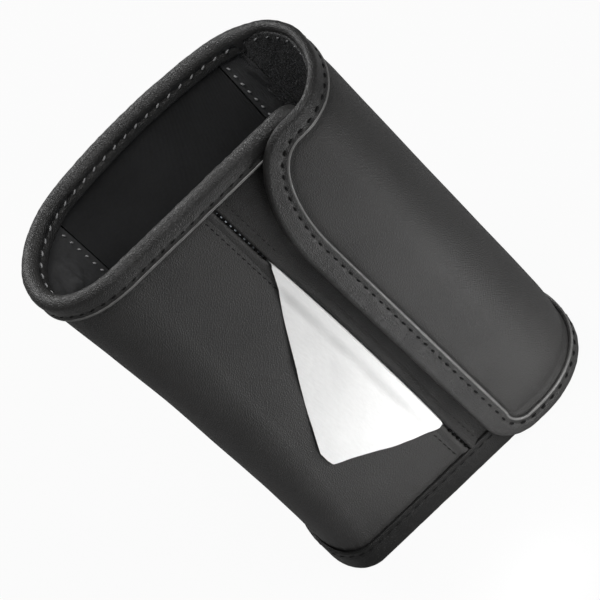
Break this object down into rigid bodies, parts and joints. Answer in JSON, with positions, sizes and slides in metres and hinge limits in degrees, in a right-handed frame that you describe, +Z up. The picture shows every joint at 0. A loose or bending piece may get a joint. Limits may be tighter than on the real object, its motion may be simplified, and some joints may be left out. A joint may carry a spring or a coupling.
{
  "type": "car tissue holder",
  "caption": "Black leather-look pouch, open at the top, with a slit in the front that the tissue is pulled out of and a wrap-over flap that closes its right end.",
  "frame": {"origin": "middle of the underside of the base, on the surface that the pouch stands on", "axes": "+Z up through the open mouth, -Y out of the front with the slit, +X towards the end that the flap closes"},
  "size_m": [0.1419, 0.0769, 0.2],
  "materials": {
    "leather": "satin grained leather-look sheet",
    "tape": "fine-grained folded binding",
    "lining": "matt woven lining",
    "pile": "fuzzy loop pile",
    "hook": "moulded hooks",
    "board": "grey board",
    "film": "thin printed-free film",
    "tissue": "soft crepe tissue"
  },
  "bodies": {
    "pouch": {"outer_cover": "leather", "slit_panel": "leather", "slit_lip_left": "leather", "slit_lip_right": "leather", "board_back": "board", "board_front_left": "board", "board_front_right": "board", "lining_back": "lining", "lining_hinge_strip": "lining", "lining_left_end": "lining", "lining_front_left": "lining", "lining_front_right": "lining", "mouth_binding": "tape", "base_binding": "tape", "base_end_binding": "tape", "base_cover": "leather", "base_board": "board", "base_lining": "lining", "hook_tape_upper": "hook", "hook_tape_lower": "hook"},
    "flap": {"flap_cover": "leather", "flap_board": "board", "flap_loop_lining": "pile", "flap_binding": "tape"},
    "refill": {"tissue_wrapper": "film", "tissue_stack": "tissue"},
    "tissue": {"tissue_sheet": "tissue"}
  },
  "joints": [
    {"name": "flap_hinge", "type": "hinge", "parent": "pouch", "child": "flap", "pos_m": [0.052, 0.0331, 0.1], "axis": [0, 0, 1], "range_deg": [0, 120]},
    {"name": "refill_lift", "type": "slide", "parent": "pouch", "child": "refill", "axis": [0, 0, 1], "range_m": [0, 0.2]},
    {"name": "tissue_pull", "type": "slide", "parent": "pouch", "child": "tissue", "axis": [0, -1, 0], "range_m": [0, 0.1]}
  ]
}
